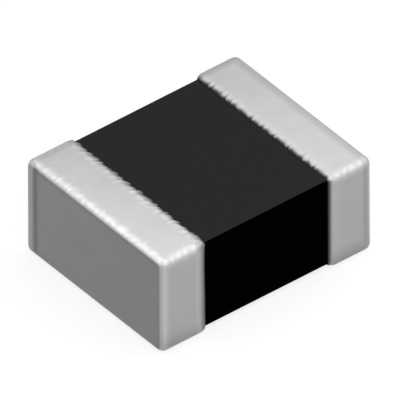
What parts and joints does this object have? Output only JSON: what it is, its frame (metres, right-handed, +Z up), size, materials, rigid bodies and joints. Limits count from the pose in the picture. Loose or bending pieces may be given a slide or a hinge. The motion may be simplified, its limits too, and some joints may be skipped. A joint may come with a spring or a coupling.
{
  "type": "smd inductor",
  "caption": "Chip inductor: a black ferrite block that holds a printed silver winding, with tin-plated caps wrapped round both ends, to be soldered flat on a circuit board.",
  "frame": {"origin": "on the board surface, under the middle of the part", "axes": "+X along the length from the left cap to the right cap, +Y across the width, +Z up off the board"},
  "size_m": [0.0024, 0.002, 0.0011],
  "materials": {
    "ferrite": "sintered nickel-zinc ferrite, matt black, tumbled edges",
    "winding_silver": "printed and fired silver",
    "cap_silver": "dipped and fired silver with glass frit",
    "nickel": "barrel-plated nickel",
    "tin": "barrel-plated matt tin"
  },
  "bodies": {
    "root": {"ferrite_body": "ferrite", "winding_layer_1": "winding_silver", "winding_layer_2": "winding_silver", "winding_layer_3": "winding_silver", "winding_layer_4": "winding_silver", "winding_layer_5": "winding_silver", "winding_layer_6": "winding_silver", "winding_layer_7": "winding_silver", "winding_layer_8": "winding_silver", "winding_layer_9": "winding_silver", "winding_layer_10": "winding_silver", "via_1": "winding_silver", "via_2": "winding_silver", "via_3": "winding_silver", "via_4": "winding_silver", "via_5": "winding_silver", "via_6": "winding_silver", "via_7": "winding_silver", "via_8": "winding_silver", "via_9": "winding_silver", "left_silver_base": "cap_silver", "right_silver_base": "cap_silver", "left_nickel_barrier": "nickel", "right_nickel_barrier": "nickel", "left_tin_coat": "tin", "right_tin_coat": "tin"}
  },
  "joints": []
}
